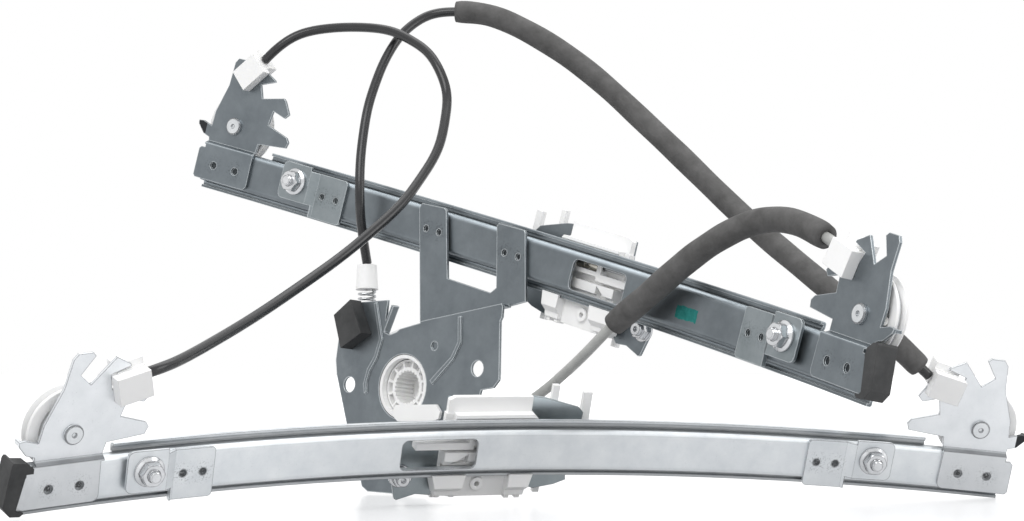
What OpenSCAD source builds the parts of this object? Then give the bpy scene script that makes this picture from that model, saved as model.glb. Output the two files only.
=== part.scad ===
// Twin-rail cable window regulator, all sizes in millimetres, +Z up.
// The regulator lies as photographed: the front rail in front, the rear
// rail leaning over it, the drive plate hanging between them, and three
// sheathed cables closing one loop over the four guide pulleys.

/* [Rails] */
// Radius of the front rail's bow, at its web face
bow_front = 858; // [700:1:1100]
// Radius of the rear rail's bow, at its web face
bow_rear = 828; // [700:1:1100]
// From the middle of the front rail to the joint of an end bracket
half_front = 227.3; // [215:0.1:260]
// From the middle of the rear rail to the joint of an end bracket
half_rear = 219.4; // [208:0.1:260]
// Thickness of the rail sheet
sheet = 1.4; // [1:0.1:1.6]
// Underside of the rail's web, under the joint line
web_low = -9.5; // [-10.5:0.1:-9]
// Top of the rail's web, over the joint line
web_high = 11; // [10.5:0.1:11.2]
// Front face of the rolled brims behind the web
brim_depth = 5.6; // [5:0.1:6]
// Top of the upper brim
brim_high = 14.7; // [14:0.1:15]
// Underside of the lower brim
brim_low = -13.2; // [-13.6:0.1:-12.6]
// Middle of the access slot along the rail
slot_s = -43.5; // [-60:0.5:-30]
// Length of the access slot
slot_long = 38; // [24:0.5:44]
// Height of the access slot
slot_high = 15; // [9:0.5:16]

/* [End brackets] */
// Thickness of the bracket and plate sheet
plate = 1.5; // [1.2:0.1:1.6]
// Height at which the upper plate of a bracket starts
fold = 12.4; // [12.2:0.1:13]
// Height at which the joggle under it starts
joggle_z = 11.2; // [10.6:0.1:11.4]
// Front face of the upper plate behind the web face
upper_y = 1.0; // [0.8:0.1:1.2]
// Height of a pulley pin over the joint line
pin_up = 23.3; // [22.5:0.1:24]
// Sheath end in the inward slot, along the rail
slot_in_x = 21.5; // [21:0.1:22]
// Sheath end in the inward slot, over the joint line
slot_in_z = 45.5; // [45:0.1:46]
// Lean of the sheath end in the inward slot
turn_in = 13; // [5:1:20]
// Sheath end in the upward slot, along the rail
slot_up_x = 5; // [4.5:0.1:5.5]
// Sheath end in the upward slot, over the joint line
slot_up_z = 55; // [54.5:0.1:55.5]
// Lean of the sheath end in the upward slot
turn_up = 50; // [40:1:60]
// From the joint to the outer edge of a stop bracket's lower plate
reach_stop = 22.7; // [22:0.1:23]
// From the joint to the outer edge of a free bracket's lower plate
reach_free = 19.5; // [19:0.1:21]
// Distance between the two press joints of an end bracket
joint_gap = 14.6; // [13:0.1:16]

/* [Pulleys] */
// Outer radius of a pulley
pulley_r = 19.5; // [18.5:0.1:20]
// Radius at the bottom of the pulley groove
groove_r = 16; // [15:0.1:17]
// Width of a pulley
pulley_w = 6.4; // [6:0.1:6.8]
// Front face of a pulley behind the web face
pulley_y = 4.7; // [4.5:0.1:5]
// Radius of a pulley pin
pin_r = 3.95; // [3:0.05:4]
// Radial play of a pulley on its pin
pin_play = 0.07; // [0.05:0.01:0.2]

/* [Cable] */
// Radius of the inner wire
wire_r = 0.75; // [0.6:0.05:0.9]
// Play between the wire and the pulley groove
wire_gap = 0.12; // [0.1:0.01:0.2]
// Radius of a cable sheath
sheath_r = 2.5; // [2:0.1:3]
// Radius of a foam tube
foam_r = 6; // [4:0.1:6]

/* [Mounting brackets] */
// From the front rail's stop joint in to its stud
stud_in_front = 39; // [34:0.1:46]
// From the front rail's free joint in to its stud
stud_in_front_free = 52.2; // [45:0.1:60]
// From the rear rail's stop joint in to its stud
stud_in_rear = 37.7; // [34:0.1:46]
// From the rear rail's free joint in to its stud
stud_in_rear_free = 50.5; // [45:0.1:58]
// Height of a stud over the joint line
nut_up = 4; // [3:0.1:5]
// Radius of a stud's shank
stud_r = 3; // [2.9:0.05:3]
// Radius of the plain end of a stud
tip_r = 2.7; // [2.5:0.05:2.85]
// From the nut plate to the plain end of a stud
tip_at = 6.15; // [6.1:0.05:7]
// Length of the plain end of a stud
tip_long = 1.55; // [1:0.05:3]
// Radius of a nut's flange
flange_r = 7.1; // [6.5:0.1:7.5]
// Width across the flats of a nut
nut_across = 10; // [9.5:0.1:10.5]
// Height of a nut with its flange
nut_tall = 5.8; // [5.6:0.1:6]
// Gap between the rail's web and the nut plate of a mounting bracket
raise = 2.8; // [2.6:0.1:3.4]
// From a stud to the middle of its bracket's press joints
joint_off = 22.6; // [22:0.1:23]

/* [Drive plate] */
// Middle of the drive plate along the rear rail
drive_s = -42.5; // [-60:0.5:-30]
// Front face of the drive plate before the web face
drive_y = -8; // [-9:0.1:-7]
// Drum axis from the middle of the drive plate
drum_x = -19; // [-20:0.5:-18]
// Drum axis under the joint line
drum_z = -80; // [-81:0.5:-79]
// Radius of the cable drum
drum_r = 22; // [20:0.1:22]
// Inner radius of the drum's splined hub
drum_bore = 8; // [6:0.1:8.5]
// Radius of the drum's face in the opening of the plate
face_r = 14; // [13.5:0.1:14.5]
// Height of the rims between the turns of wire on the drum
drum_rim = 1.2; // [1:0.1:1.4]
// Gap between the drum's rims and its housing
cup_gap = 0.4; // [0.3:0.1:1]
// Wall of the drum housing
cup_wall = 3.4; // [2:0.1:4]
// Width of the housing's flange round the cup
cup_flange = 3; // [2:0.1:4]
// Gap between the drum's face and the lip of the housing
lip_gap = 0.4; // [0.3:0.1:0.6]
// Thickness of the lip of the housing
lip_wall = 1.9; // [1.5:0.1:2]
// Gap between the lip and the opening of the plate
lip_play = 0.3; // [0.2:0.1:0.6]

/* [Carriages] */
// Carriage position along the front rail, as photographed
slide_front = -16; // [-60:0.5:60]
// Carriage position along the rear rail, as photographed
slide_rear = -28; // [-60:0.5:60]
// Running gap of a slider on the brims
run = 0.3; // [0.2:0.05:0.5]

/* [Hidden] */
$fn = 48;
slot_in = [slot_in_x,slot_in_z];
slot_up = [slot_up_x,slot_up_z];
pin_bore = pin_r+pin_play;
wire_y = pulley_y + pulley_w/2;
wire_z = pin_up - groove_r - wire_r - wire_gap;
nut_s_front = half_front-stud_in_front;
nut_t_front = half_front-stud_in_front_free;
nut_s_rear = half_rear-stud_in_rear;
nut_t_rear = half_rear-stud_in_rear_free;
cup_r = drum_r+drum_rim+cup_gap;
lip_in = face_r+lip_gap;
lip_out = lip_in+lip_wall;

// Placing
set_down = [-8.50,-12.50,0.93];   // brings the origin under the middle of the whole
module front_group() translate(set_down) translate([-1.2,-16.1,23.5])
  rotate([21.86,0.22,21.69]) children();
module rear_group() translate(set_down) translate([4.5,37.4,115.1])
  rotate([-5.68,14.17,-45.58]) children();
module rear_mirrored() rear_group() mirror([1,0,0]) children();

// a place on the bowed web: x along the rail, y away from the viewer, z up
module on_arc(bow, s)
  translate([0,-bow,0]) rotate([0,0,-s/bow*180/PI]) translate([0,bow,0]) children();

module stop_end(bow, half) on_arc(bow, -half) children();
module free_end(bow, half) on_arc(bow, half) mirror([1,0,0]) children();

// a flat outline in the x-z plane given depth along y
module upright(y0, depth)
  translate([0,y0+depth,0]) rotate([90,0,0]) linear_extrude(depth) children();
module peg(r, y0, y1, x=0, z=0)
  translate([x,y1,z]) rotate([90,0,0]) cylinder(r=r, h=y1-y0);

function arc(cx, cy, r, a0, a1, n=5) =
  [for (i=[0:n]) [cx+r*cos(a0+(a1-a0)*i/n), cy+r*sin(a0+(a1-a0)*i/n)]];
function sag(len, bow) = len*len/8/bow;
function lean(p, k) = [for (q=p) [q[0]+k*q[1], q[1]]];

// a rounded rectangle centred on a point
module pill(w, h, r) polygon(concat(
  arc(w/2-r,h/2-r,r,0,90), arc(-w/2+r,h/2-r,r,90,180),
  arc(-w/2+r,-h/2+r,r,180,270), arc(w/2-r,-h/2+r,r,270,360)));

// Rail
// half of the hat section from the web middle to the brim lip, in depth and height
function half_section(h, b) = concat(
  arc(2.9,h-2.9,2.9,180,90), arc(brim_depth-1.2,h+1.2,1.2,270,360,3),
  [[brim_depth,b-1.4],[brim_depth-1.4,b-1.4],[brim_depth-1.4,b]],
  arc(brim_depth+0.4,b-1,1,90,0,3),
  arc(brim_depth-1.2,h+1.2,2.6,360,270,4),
  arc(2.9,h-2.9,1.5,90,180));
function flip(p) = [for (i=[len(p)-1:-1:0]) [p[i][0],-p[i][1]]];
function section(bow) = [for (q=concat(half_section(web_high,brim_high),
  flip(half_section(-web_low,-brim_low)))) [bow+q[0],q[1]]];

module sweep(bow, s0, s1)
  translate([0,-bow,0]) rotate([0,0,90-s1/bow*180/PI])
    rotate_extrude(angle=(s1-s0)/bow*180/PI, $fn=200) children();

module rail(bow, half) {
  difference() {
    sweep(bow, -half-19, half+16) polygon(section(bow));
    for (e=[-1,1]) on_arc(bow, e*(half+2)) {
      translate([-27,-2,web_high+0.01]) cube([54,14,9]);
      translate([-27,brim_depth-1.2,5]) cube([54,9,12]);
    }
    on_arc(bow, slot_s) upright(-1,4) pill(slot_long,slot_high,3);
  }
  // backs of the press joints
  for (e=[-1,1]) for (d=[-1,1]) on_arc(bow, e*half+d*joint_gap/2)
    peg(3.1, sheet-0.2, sheet+0.8);
}

// End brackets
outline_up = [[-15.5,fold],[-15.7,14.2],[-20,15.5],[-24,19.8],[-24.3,21.9],[-21.4,22.3],
  [-15.2,20.5],[-14.4,28.6],[-8.7,44.4],[-7.4,57],[-5.5,59.6],[1.2,59.8],[2.8,58.2],
  [-2.4,50],[3.5,45],[13.2,56.6],[20.5,53],
  [21,52],[12,48.8],[14.4,41.7],[28.5,44.8],[30,43.5],[33.7,37],[31.2,34.5],[23.2,36.8],
  [21.4,28.8],[34.8,24.8],[36.5,22.5],[35.3,19.2],[17.3,17.4],[16.5,fold]];

function plate_back(outer, bow) = -outer*outer/2/bow-0.03;
module end_bracket(bow, outer, k, slant=0) {
  back = plate_back(outer,bow);
  difference() {
    union() {
      upright(back-plate, plate) polygon(concat([[-outer+1.6,-8.5],[-outer+0.4,-7.2],
        [-outer+slant+0.4,7.2],[-outer+slant+1.6,8.5],[-15.4,8.5],[-15.4,joggle_z],[16.6,joggle_z]],
        arc(13.9,-5.5,3,0,-90,3)));
      // joggle back to the upper plate
      translate([-15.4+k*fold,0,0]) rotate([90,0,90]) linear_extrude(31.9) polygon([
        [back-plate,joggle_z-0.1],[upper_y,fold+0.02],[upper_y+plate,fold+0.02],
        [back,joggle_z-0.2],[back,joggle_z-1],[back-plate,joggle_z-1]]);
      upright(upper_y, plate) polygon(lean(outline_up,k));
      // tip of the hook folded back beside the pulley
      translate([-23.9+k*20.5,upper_y+0.2,20]) cube([plate,4.8,1.7]);
    }
    peg(4, upper_y-1, upper_y+plate+1, k*pin_up, pin_up);
    for (d=[-1,1]) {
      peg(2.1, back-plate-1, back-0.5, d*joint_gap/2);
    }
  }
}

module pin_shape(k) translate([k*pin_up,0,pin_up]) {
  difference() {
    union() {
      peg(4.6, upper_y-1.3, upper_y-0.02);
      peg(4.1, upper_y-1.9, upper_y-1.2);
    }
    peg(1.1, upper_y-2.5, upper_y-1);
  }
  peg(pin_r, upper_y-0.1, pulley_y+pulley_w+1);
  peg(6, upper_y+plate+0.02, pulley_y-0.15);
  peg(6.4, pulley_y+pulley_w+0.2, pulley_y+pulley_w+1.6);
}

module pulley_shape() difference() {
  translate([0,pulley_y+pulley_w,0]) rotate([90,0,0]) rotate_extrude($fn=96)
    polygon(concat([[pin_bore,0],[7,0],[8,1.4],[13.2,1.4],[14.2,0],[pulley_r-0.6,0],
      [pulley_r,0.6]], [[pulley_r,1.2]], arc(groove_r+1,pulley_w/2,1,250,110,6),
      [[pulley_r,pulley_w-1.2],[pulley_r,pulley_w-0.6],[pulley_r-0.6,pulley_w],
      [14.2,pulley_w],[13.2,pulley_w-1.4],[8,pulley_w-1.4],[7,pulley_w],[pin_bore,pulley_w]]));
  for (i=[0:5]) rotate([0,60*i,0]) peg(2, pulley_y-1, pulley_y+pulley_w+1, 10.6, 0);
}
module pulley_at(k) translate([k*pin_up,0,pin_up]) pulley_shape();

// Rubber end stop on the tip of the lower plate
module end_stop(bow, inner) {
  back = plate_back(reach_stop,bow);
  difference() {
    upright(-3.4,10.5) polygon([[-28.7,-5.5],[-25.1,-9.9],[-20.5,-10.4],[-18.9,-9.2],
      [-18.9,8.9],[inner,8.9],[inner,11.2],[inner-3.4,14],[-25.2,14.8],[-26,13.6]]);
    // notch for the end of the lower plate, open to the front
    upright(-9,9+back+0.05) polygon([[-21.2,-8.6],[-22.45,-7.2],[-19.25,7.25],[-18,8.6],
      [-12,8.6],[-12,-8.6]]);
    translate([-19.6,back-0.05,-15]) cube([8,14,26.3]);
    translate([-24.2,3.2,-15]) cube([12,9,32]);
  }
}

// Mounting brackets, studs, nuts
// dir points from the stud to the press joints along +x
module mount_bracket(bow) {
  back = -sag(22,bow)-0.02;
  high = -raise;
  difference() {
    union() {
      translate([joint_off,back,0]) upright(-plate,plate) polygon(concat(
        arc(8.2,9.5,2,0,90,3), arc(-9,11.5,0.1,90,180,1), [[-9.1,-12.2]],
        arc(8.2,-10.2,2,270,360,3)));
      upright(high-plate,plate) polygon(concat(arc(9,13.5,0.1,0,90,1),
        arc(-7.2,10.6,3,90,180,3), arc(-7.2,-3.2,3,180,270,3), [[9.1,-6.2]]));
      translate([0,0,-6.2]) linear_extrude(17.7) polygon([[9,high-plate],[13.5,back-plate],
        [13.5,back],[12.8,back],[8.6,high],[8.4,high],[8.4,high-plate]]);
      translate([0,0,-12.2]) linear_extrude(6.1) polygon([[12,back-plate-1],
        [13.5,back-plate],[13.5,back],[12,back]]);
    }
    peg(3.1, -9, 2, 0, nut_up);
    for (d=[-1,1]) peg(1.7, back-plate-1, back-0.5, joint_off+d*4.8);
  }
}
module stud(bow) translate([0,-raise-plate,nut_up]) rotate([90,0,0]) {
  translate([0,0,-plate-1.4]) cylinder(r=stud_r,h=plate+1.4+tip_at-0.3);
  // head behind the nut plate
  translate([0,0,-plate-1.6]) cylinder(r=5,h=1.58);
  // plain end that stands out of the nut
  translate([0,0,tip_at-0.3]) cylinder(r1=stud_r,r2=tip_r,h=0.3);
  translate([0,0,tip_at]) cylinder(r=tip_r,h=tip_long);
  translate([0,0,tip_at+tip_long]) cylinder(r1=tip_r,r2=tip_r-0.5,h=0.5);
}
module nut() translate([0,-raise-plate-0.02,nut_up]) rotate([90,0,0]) difference() {
  union() {
    cylinder(r=flange_r,h=1);
    translate([0,0,0.99]) cylinder(r1=flange_r,r2=flange_r-1.5,h=0.9);
    intersection() {
      cylinder(r=nut_across/sqrt(3),h=nut_tall,$fn=6);
      union() {
        cylinder(r=nut_across/2+0.9,h=nut_tall-0.8);
        translate([0,0,nut_tall-0.8]) cylinder(r1=nut_across/2+0.9,r2=nut_across/2+0.1,h=0.8);
      }
    }
  }
  translate([0,0,-1]) cylinder(r=stud_r+0.02,h=9);
}
// the joints sit on the web, the stud stands beside them
module mount_place(bow, s) on_arc(bow,s+joint_off) translate([-joint_off,0,0]) children();
module mount_place_free(bow, s) on_arc(bow,s-joint_off) mirror([1,0,0])
  translate([-joint_off,0,0]) children();
module stud_places(bow, s_stop, s_free) {
  mount_place(bow,-s_stop) children();
  mount_place_free(bow,s_free) children();
}

// Sheath end blocks in the bracket slots
module end_block(k, at, turn, low, high) translate([at[0]+k*at[1],0,at[1]])
  rotate([0,-turn,0]) difference() {
  union() {
    translate([-8,-5,-8]) cube([16,upper_y+4.9,12.5]);
    translate([-5,upper_y+plate+0.1,-4]) cube([13,wire_y-upper_y-plate+2.4,12]);
    translate([-5,upper_y-0.2,low]) cube([13,plate+0.4,high-low]);
  }
  translate([-9,wire_y,0]) rotate([0,90,0]) cylinder(r=1,h=10);
}

// Inner wires
module wire(bow, half) {
  sweep(bow, -half, half) translate([bow+wire_y,wire_z]) circle(r=wire_r,$fn=16);
}
module rod(a, b, r) translate(a) rotate([0,acos((b[2]-a[2])/norm(b-a)),
  atan2(b[1]-a[1],b[0]-a[0])]) cylinder(r=r,h=norm(b-a),$fn=16);
// wrap round a pulley and lead up to the sheath end
module wrap(k, at, turn) {
  lay = groove_r+wire_r+wire_gap;
  top = [k*pin_up+lay*cos(turn+90),wire_y,pin_up+lay*sin(turn+90)];
  translate([k*pin_up,wire_y,pin_up]) rotate([90,0,0]) rotate([0,0,turn+90])
    rotate_extrude(angle=180-turn,$fn=72) translate([lay,0]) circle(r=wire_r,$fn=16);
  rod(top, [at[0]+k*at[1]-3*cos(turn),wire_y,at[1]-3*sin(turn)], wire_r-0.02);
  rod([k*pin_up-0.5,wire_y,pin_up-lay], [16,wire_y,pin_up-lay], wire_r-0.02);
}

// Sheaths
function unit(v) = v/norm(v);
function side(t, p) = unit(cross(t,p));
function tangents(p) = [for (i=[0:len(p)-1]) unit(p[min(i+1,len(p)-1)]-p[max(i-1,0)])];
function spline(p, m) = concat([for (i=[0:len(p)-2]) let(a=p[max(i-1,0)],b=p[i],c=p[i+1],
  d=p[min(i+2,len(p)-1)]) for (j=[0:m-1]) let(t=j/m)
  0.5*((2*b)+(c-a)*t+(2*a-5*b+4*c-d)*t*t+(3*b-a-3*c+d)*t*t*t)],[p[len(p)-1]]);
module tube(path, r, from=0, to=999, n=12, m=2, about=[0.31,0.62,-0.72]) {
  whole = spline(path,m);
  all_t = tangents(whole);
  last = min(to,len(whole)-1);
  q = [for (i=[from:last]) whole[i]];
  t = [for (i=[from:last]) all_t[i]];
  c = len(q);
  pts = [for (i=[0:c-1]) let(u=side(t[i],about),v=cross(t[i],u))
    for (j=[0:n-1]) q[i]+r*cos(360*j/n)*u+r*sin(360*j/n)*v];
  faces = concat([[for (j=[0:n-1]) j]], [[for (j=[n-1:-1:0]) (c-1)*n+j]],
    [for (i=[0:c-2]) for (j=[0:n-1])
      [i*n+j,(i+1)*n+j,(i+1)*n+(j+1)%n,i*n+(j+1)%n]]);
  polyhedron(pts,faces);
}
path_a = [[-140.9,158.6,228.8],[-133,156,236],[-122,156,243],[-106,152,245.5],[-88.6,144,245],
  [-72.3,133,242],[-61.4,126,236],[-51.6,118,228.7],[-45,110,217.5],[-41,106,205],[-42,95,191],[-45,82,174],
  [-54,68,158],[-63,54,144],[-77,40,130],[-91,26,117],[-109,0,102],[-125,-35,88],[-140,-72,76],
  [-152,-103,67],[-159,-115.4,63.5],[-165,-119,61.2]];
path_b = [[-83.1,115.4,117.8],[-84,112.5,124.1],[-86,105,140],[-86.4,104.6,155],[-86.4,109,171],
  [-85,116,187],[-83,122,201],[-79,129,215],[-75,134,226],[-68,140,239],[-59,146,248],
  [-50,150,253],[-38,149,254],[-20,145,252],[-3,138,244],[18,132,231],[39,125,214],[59,116,194],
  [79,101,173],[99,86,151],[117,70,132],[134,48,115],[149,30,100],[165,20,86],[179,18,74],
  [190,21,63.5],[194.4,22.4,59.5]];
path_c = [[134.3,-118.9,114.8],[129.5,-109.5,120],[119,-93,127.6],[109,-78,130],[98,-68,128],
  [86,-62,122],[74.5,-53,114],[63,-42,104],[52,-31,94],[40,-20,84],[29,-8,72],[19,10,62],
  [9,27,53],[-2,42,45],[-14,54,40.5],[-23.5,63,38.6]];
foam_b_span = [24,50];
foam_c_span = [2,18];

// Drive plate
plate_low = [[-17.1,-46.1],[33.8,-24.4],[35.1,-30.2],[34.5,-32.4],[43.2,-60.2],[40.7,-64.9],
  [33.3,-67.9],[33,-95],[12,-126],[-6.2,-132.7],[-25.1,-137],[-29.9,-135.6],[-32.7,-131.5],
  [-50.7,-108.8],[-66.4,-86.2],[-69.7,-79],[-72.1,-63.5],[-69.9,-58.7],[-61.3,-45.9],
  [-43.5,-40.5],[-40.6,-56.8],[-36.2,-57.2],[-31.9,-54.5],[-30.3,-52.6]];
plate_arms = [[-42.6,9.1],[-41.3,11.8],[-25.2,12.8],[-23.7,11.7],[-11.7,-21],[19,-21.2],
  [22.1,-17.9],[12.4,11.8],[13.5,13.3],[30.8,13.6],[31.9,12.5],[43,-20],[34.3,-24.2],
  [-17.1,-46.1],[-22.8,-46.7]];
module drive_plate_shape() {
  difference() {
    union() {
      upright(drive_y,plate) polygon(plate_low);
      upright(-2.7,plate) polygon(plate_arms);
      translate([-17.3,drive_y,-46.9]) rotate([0,-23.1,0]) cube([55.2,-2.7-drive_y+plate,plate]);
      // side flange of the ear
      translate([-42.6,drive_y,-58]) rotate([0,9,0]) cube([1.5,4.5,16]);
      // raised rib round the hub
      upright(drive_y-0.8,0.9) polygon([[7.3,-37],[11.3,-48.9],[9.2,-57.2],[-1,-72],[1,-73.4],
        [11,-58],[13.2,-49],[9.2,-36.4]]);
      upright(drive_y-0.8,0.9) polygon([[-51.9,-44.5],[-42.2,-60.9],[-42.7,-70],[-45.4,-77.6],
        [-45.6,-85.6],[-43.3,-90.2],[-42,-89],[-43.8,-84],[-43.4,-78],[-40.7,-70.5],[-40.2,-60.5],
        [-50.2,-43.5]]);
    }
    peg(lip_out+lip_play, drive_y-3, 2, drum_x, drum_z);
    peg(4, drive_y-3, 2, -55.9, -88.6);
    peg(4, drive_y-3, 2, 27.6, -58.4);
    peg(4, drive_y-3, 2, -6, -122);
    peg(2.2, drive_y-3, drive_y+0.9, -4.2, -54.9);
    for (a=[[-29.8,0],[26.3,0]]) for (d=[-1,1])
      peg(1.7, -4, -1.7, a[0]+d*4.7, a[1]);
  }
}
lobe = [[0,-9.8],[27,-2.2],[31,-5],[31,-8.6],[28,-10.6],[4,-17.2],[-1,-15]];
module drum_housing_shape() translate([drum_x,0,drum_z]) difference() {
  union() {
    // flange against the plate and deep cup behind it
    peg(cup_r+cup_wall+cup_flange, drive_y+plate+0.02, drive_y+plate+2.6);
    difference() {
      peg(cup_r+cup_wall, drive_y+plate+1, 15);
      peg(cup_r, drive_y+plate+2.4, 13);
    }
    // lip seen through the opening
    difference() {
      peg(lip_out, drive_y+0.3, drive_y+plate+1);
      peg(lip_in, drive_y-1, drive_y+plate+3);
    }
    for (i=[0:11]) rotate([0,30*i,0]) translate([cup_r+cup_wall-1,drive_y+plate+2.4,-0.8])
      cube([cup_flange,8,1.6]);
    // lobe of the outlet, it reaches over the front of the plate
    upright(drive_y-1.8,1.75) polygon(lobe);
    intersection() {
      upright(drive_y-1.8,4.6) polygon(lobe);
      difference() {
        peg(lip_out,drive_y-2,drive_y+plate+1);
        peg(lip_in,drive_y-0.2,drive_y+plate+3);
      }
    }
    // guide for the cable that leaves to the right
    translate([14,1,-16]) cube([24,10,10]);
    translate([38,6,-11]) rotate([0,90,0]) cylinder(r=4.6,h=4);
  }
  peg(lip_in, drive_y-0.2, drive_y+plate+3);
  peg(8.3, 12, 17);
  translate([10,6,-11]) rotate([0,90,0]) cylinder(r=1.2,h=40);
}
// guide under the spring, on the same axis as the ferrule
module inlet_guide() translate([-67.2,-0.5,-40]) rotate([0,-19,0]) difference() {
  union() {
    translate([0,0,-36]) cylinder(r=5.6,h=16.5);
    translate([2,-4,-39]) cube([17,9,13]);
  }
  translate([0,0,-40]) cylinder(r=1.2,h=30);
}
module drum_shape() translate([drum_x,0,drum_z]) difference() {
  union() {
    translate([0,12.7,0]) rotate([90,0,0]) rotate_extrude($fn=96) polygon(concat(
      [[0,0],[drum_r+drum_rim,0],[drum_r+drum_rim,1.6]],
      [for (i=[0:4]) each [[drum_r,2.4+i*2.4],[drum_r,3.2+i*2.4],[drum_r+1,3.9+i*2.4],
        [drum_r+1,4.0+i*2.4]]],
      [[drum_r+1,14.8],[face_r,14.8],[face_r,17.2],[0,17.2]]));
    peg(8.2, 12.5, 15.6);
  }
  // splined socket for the motor
  translate([0,-12,0]) rotate([-90,0,0]) linear_extrude(21) polygon(
    [for (i=[0:71]) let(r=(i%3==0)?drum_bore+0.9:drum_bore) [r*cos(5*i),r*sin(5*i)]]);
  // pockets between the radial ribs of the face
  difference() {
    peg(face_r-0.8,-6,-1.5);
    peg(drum_bore+2.2,-7,0);
    for (i=[0:11]) rotate([0,30*i,0]) translate([9,-7,-0.6]) cube([6,8,1.2]);
  }
}

// Carriages
module brim_gap(bow) sweep(bow,-120,120) translate([bow,0]) union() {
  translate([brim_depth-1.7,web_high-3]) square([3.4,brim_high+run-web_high+3]);
  translate([brim_depth-1.7,brim_low-run]) square([3.4,-brim_low+run+web_low+3]);
  translate([-0.3,web_low-run]) square([5.8,web_high-web_low+2*run]);
}
module slider(bow, s) difference() {
  on_arc(bow,s) difference() {
    union() {
      // bearing over and behind the upper brim, with a thin face above it
      upright(6.3,7.7) polygon([[-18.3,11.5],[25.2,11.5],[21,16.6],[-18.3,16.6]]);
      upright(11,3) polygon([[-21.1,13.8],[25.9,12],[21,17],[21,23.9],[-18.3,23.9],[-21.1,22.4]]);
      translate([-22,10.6,-14]) cube([39,3.4,30]);
      // grip round the nipples and the arms seen through the access slot
      translate([-10.6,5.6,1.6]) cube([21.2,6,9.2]);
      translate([-37,5.6,-0.4]) cube([29,5.4,3.6]);
      translate([-22,5.6,-8.8]) cube([30,5.4,6.9]);
      // lower bearing: two blocks in front of the lower brim, the middle set back
      translate([-18,8,-25]) cube([36,6,12.4]);
      intersection() {
        upright(2,12) {
          polygon([[-28.2,-12.2],[-11.2,-12.2],[-13.2,-23.6],[-24.6,-23.6]]);
          polygon([[10.7,-12.2],[22.6,-12.2],[20.1,-24],[10.7,-24]]);
        }
        translate([-35,0,0]) rotate([90,0,90]) linear_extrude(70) polygon([[2.6,-12.2],
          [2.6,-18.8],[5.6,-21.4],[5.6,-26],[12,-26],[12,-12.2]]);
      }
      for (x=[-23.1,-15.7]) translate([x-1.2,6.4,-24.8]) cube([2.4,4.6,3]);
      for (x=[12.3,17.8]) translate([x-1.2,6.4,-25.8]) cube([2.4,4.6,4]);
      peg(3.3,6.6,9,-3.5,-18.4);
    }
    peg(1.3,6,16,-3.5,-18.4);
    upright(4,6) polygon([[-18,-8],[-10,-8],[-10,-2.6]]);
    // pockets of the cable nipples, open to the front
    translate([-7.6,wire_y,wire_z]) rotate([0,90,0]) cylinder(r=2.55,h=15.2);
    translate([-7.6,0,wire_z-2.55]) cube([15.2,wire_y,5.1]);
  }
  brim_gap(bow);
  sweep(bow,-120,120) translate([bow+wire_y,wire_z]) circle(r=1.6,$fn=24);
}
module nipples(bow, s) for (d=[-1,1]) on_arc(bow, s+d*4.4) difference() {
  translate([-3,wire_y,wire_z]) rotate([0,90,0]) cylinder(r=2.4,h=6);
  translate([-4,wire_y,wire_z]) rotate([0,90,0]) cylinder(r=wire_r+0.12,h=8);
}
module glass_plate(bow, s) on_arc(bow,s) difference() {
  upright(14.04,plate) polygon([[-20.5,22.8],[22.3,22.8],[28.5,22],[46.8,16.9],[49.2,14.3],[48.8,9.7],
    [44.8,-17.6],[45.3,-20.5],[39.3,-22.8],[28.7,-24.6],[19,-21],[-17,-21],[-23.7,-27],
    [-30.8,-26.3],[-39.9,-29.2],[-41,-28.6],[-44,-17.8],[-43.4,5],[-39,9.5],[-21,10.5]]);
  peg(3.1,13,17,-40,-16.6);
}
// holder of the glass behind the steel plate, its prongs stand out past the edges
module glass_clips(bow, s) on_arc(bow,s) {
  upright(15.58,2.6) polygon([[-20,-16],[36,-16],[41,8],[36,16],[-18,18]]);
  translate([32.7,15.58,10]) cube([3.2,2.6,17.6]);
  translate([38,15.58,8.6]) cube([15.4,2.6,3]);
  translate([49,15.58,8.6]) cube([4.4,2.6,15.2]);
  translate([30,15.58,-27.4]) cube([3,2.6,14]);
  translate([-22.6,15.58,-29]) cube([3.4,2.6,16]);
}
module carriage_nut(bow, s) on_arc(bow,s) translate([-40,14,-16.6]) rotate([90,0,0]) difference() {
  union() {
    cylinder(r=5.6,h=1.2);
    cylinder(r=8/sqrt(3),h=4.6,$fn=6);
    translate([0,0,-1.9]) cylinder(r=3,h=8.4);
  }
  translate([0,0,5]) cylinder(r=1.2,h=3);
}

// Named pieces
// lean of each bracket's upper plate
k_front_stop = 0.14;
k_front_free = 0;
k_rear_stop = -0.17;
k_rear_free = -0.06;

module front_rail() color([0.83,0.85,0.87]) front_group() rail(bow_front, half_front);
module rear_rail() color([0.6,0.63,0.66]) rear_mirrored() rail(bow_rear, half_rear);
module front_stop_bracket() color([0.85,0.87,0.88]) front_group()
  stop_end(bow_front,half_front) end_bracket(bow_front,reach_stop,k_front_stop,3.2);
module front_free_bracket() color([0.85,0.87,0.88]) front_group()
  free_end(bow_front,half_front) end_bracket(bow_front,reach_free,k_front_free);
module rear_stop_bracket() color([0.55,0.58,0.61]) rear_mirrored()
  stop_end(bow_rear,half_rear) end_bracket(bow_rear,reach_stop,k_rear_stop,3.2);
module rear_free_bracket() color([0.55,0.58,0.61]) rear_mirrored()
  free_end(bow_rear,half_rear) end_bracket(bow_rear,reach_free,k_rear_free);
module front_mount_stop_side() color([0.82,0.84,0.86]) front_group()
  mount_place(bow_front,-nut_s_front) mount_bracket(bow_front);
module front_mount_free_side() color([0.82,0.84,0.86]) front_group()
  mount_place_free(bow_front,nut_t_front) mount_bracket(bow_front);
module rear_mount_stop_side() color([0.6,0.63,0.66]) rear_mirrored()
  mount_place(bow_rear,-nut_s_rear) mount_bracket(bow_rear);
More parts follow.
